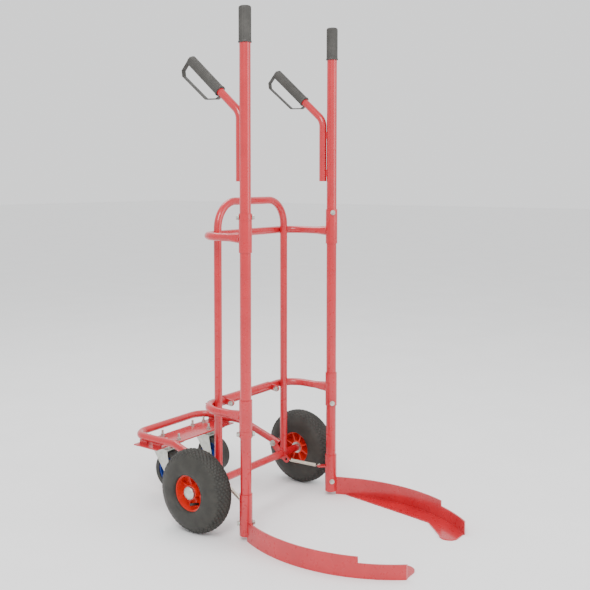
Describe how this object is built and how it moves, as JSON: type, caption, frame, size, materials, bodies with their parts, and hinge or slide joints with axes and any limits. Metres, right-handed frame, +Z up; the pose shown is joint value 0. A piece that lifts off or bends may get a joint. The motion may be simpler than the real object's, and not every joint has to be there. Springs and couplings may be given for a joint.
{
  "type": "convertible hand truck",
  "caption": "Upright tube hand truck with two spring-closed turning forks, side handles, pneumatic wheels and a fold-up frame on swivel casters.",
  "frame": {"origin": "centre of the footprint of the whole truck, on the floor", "axes": "+Z up, forks point to -Y, casters to +Y, +X is the right-hand side seen from behind the handles"},
  "size_m": [0.645, 1.0825, 1.6],
  "materials": {
    "red_paint": "gloss red powder coat",
    "zinc": "zinc plated",
    "spring_steel": "bright spring steel",
    "grip_rubber": "moulded grip",
    "tyre_rubber": "black pneumatic tyre",
    "rim_red": "gloss orange-red",
    "caster_blue": "blue moulded rim",
    "caster_rubber": "solid rubber tread"
  },
  "bodies": {
    "base_frame": {"inner_frame": "red_paint", "axle_tube": "red_paint", "axle_shaft": "zinc", "axle_washers": "zinc", "upper_bow": "red_paint", "lower_bow": "red_paint", "upper_left_sleeve": "red_paint", "upper_right_sleeve": "red_paint", "lower_left_sleeve": "red_paint", "lower_right_sleeve": "red_paint", "pivot_lugs": "red_paint", "left_spring": "spring_steel", "right_spring": "spring_steel", "latch_lugs": "red_paint", "latch_bolts": "zinc"},
    "left_arm": {"left_upright": "red_paint", "left_top_grip": "grip_rubber", "left_collars": "red_paint", "left_fork": "red_paint", "left_arm_bolts": "zinc", "left_side_handle": "red_paint", "left_side_grip": "grip_rubber", "left_hand_guard": "grip_rubber"},
    "right_arm": {"right_upright": "red_paint", "right_top_grip": "grip_rubber", "right_collars": "red_paint", "right_fork": "red_paint", "right_arm_bolts": "zinc", "right_side_handle": "red_paint", "right_side_grip": "grip_rubber", "right_hand_guard": "grip_rubber"},
    "left_wheel": {"left_tyre": "tyre_rubber", "left_rim": "rim_red", "left_hub_cap": "zinc"},
    "right_wheel": {"right_tyre": "tyre_rubber", "right_rim": "rim_red", "right_hub_cap": "zinc"},
    "rear_frame": {"caster_frame": "red_paint", "caster_plate": "red_paint", "caster_studs": "zinc", "caster_top_plates": "zinc", "pivot_bolts": "zinc"},
    "left_swivel": {"left_caster_fork": "zinc", "left_caster_axle": "zinc"},
    "right_swivel": {"right_caster_fork": "zinc", "right_caster_axle": "zinc"},
    "left_caster_wheel": {"left_caster_tyre": "caster_rubber", "left_caster_rim": "caster_blue"},
    "right_caster_wheel": {"right_caster_tyre": "caster_rubber", "right_caster_rim": "caster_blue"},
    "latch": {"latch_sleeve": "red_paint", "latch_bar": "red_paint", "latch_pad": "grip_rubber"}
  },
  "joints": [
    {"name": "left_arm_turn", "type": "hinge", "parent": "base_frame", "child": "left_arm", "pos_m": [-0.233, -0.016, 0.65], "axis": [0, 0, 1], "range_deg": [-25, 0], "stiffness_Nm_per_rad": 3, "springref_deg": 8.59},
    {"name": "right_arm_turn", "type": "hinge", "parent": "base_frame", "child": "right_arm", "pos_m": [0.233, -0.016, 0.65], "axis": [0, 0, 1], "range_deg": [0, 25], "stiffness_Nm_per_rad": 3, "springref_deg": -8.59},
    {"name": "left_wheel_spin", "type": "hinge", "parent": "base_frame", "child": "left_wheel", "pos_m": [-0.28, 0.144, 0.13], "axis": [1, 0, 0], "continuous": true},
    {"name": "right_wheel_spin", "type": "hinge", "parent": "base_frame", "child": "right_wheel", "pos_m": [0.28, 0.144, 0.13], "axis": [1, 0, 0], "continuous": true},
    {"name": "rear_frame_fold", "type": "hinge", "parent": "base_frame", "child": "rear_frame", "pos_m": [0, 0.178, 0.163], "axis": [1, 0, 0], "range_deg": [0, 62]},
    {"name": "left_swivel_turn", "type": "hinge", "parent": "rear_frame", "child": "left_swivel", "pos_m": [-0.107, 0.448, 0.17], "axis": [0, 0, 1], "continuous": true},
    {"name": "right_swivel_turn", "type": "hinge", "parent": "rear_frame", "child": "right_swivel", "pos_m": [0.107, 0.448, 0.17], "axis": [0, 0, 1], "continuous": true},
    {"name": "left_caster_spin", "type": "hinge", "parent": "left_swivel", "child": "left_caster_wheel", "pos_m": [-0.107, 0.412, 0.095], "axis": [1, 0, 0], "continuous": true},
    {"name": "right_caster_spin", "type": "hinge", "parent": "right_swivel", "child": "right_caster_wheel", "pos_m": [0.107, 0.412, 0.095], "axis": [1, 0, 0], "continuous": true},
    {"name": "latch_turn", "type": "hinge", "parent": "base_frame", "child": "latch", "pos_m": [0, 0.1688, 0.375], "axis": [1, 0, 0], "range_deg": [0, 20], "stiffness_Nm_per_rad": 0.6, "springref_deg": -17.19}
  ]
}
